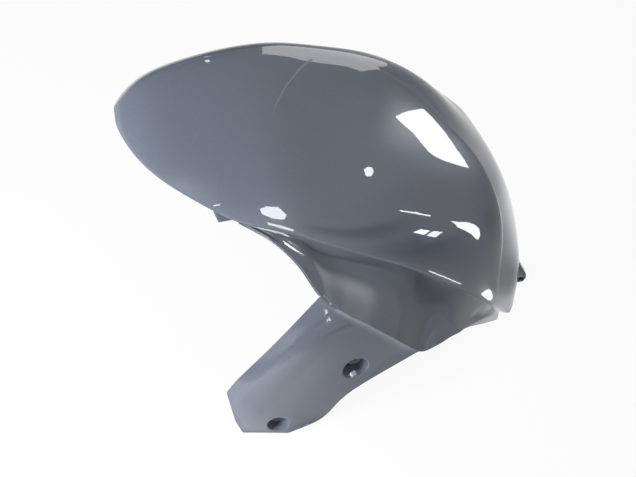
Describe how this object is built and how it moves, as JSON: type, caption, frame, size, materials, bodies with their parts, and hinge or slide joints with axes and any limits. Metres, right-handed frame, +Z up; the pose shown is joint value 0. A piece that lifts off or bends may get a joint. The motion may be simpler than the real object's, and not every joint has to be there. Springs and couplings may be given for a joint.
{
  "type": "motorcycle front mudguard",
  "caption": "One-piece gloss grey front mudguard of a sport motorcycle, with a pointed nose and two fork arms that have recessed bolt seats.",
  "frame": {"origin": "middle of the part's footprint, on the table that it stands on", "axes": "+X to the rear of the motorcycle, +Y to its right-hand side, +Z up in the standing pose"},
  "size_m": [0.366, 0.28, 0.3243],
  "materials": {
    "shell": "gloss"
  },
  "bodies": {
    "root": {"front_mudguard": "shell"}
  },
  "joints": []
}
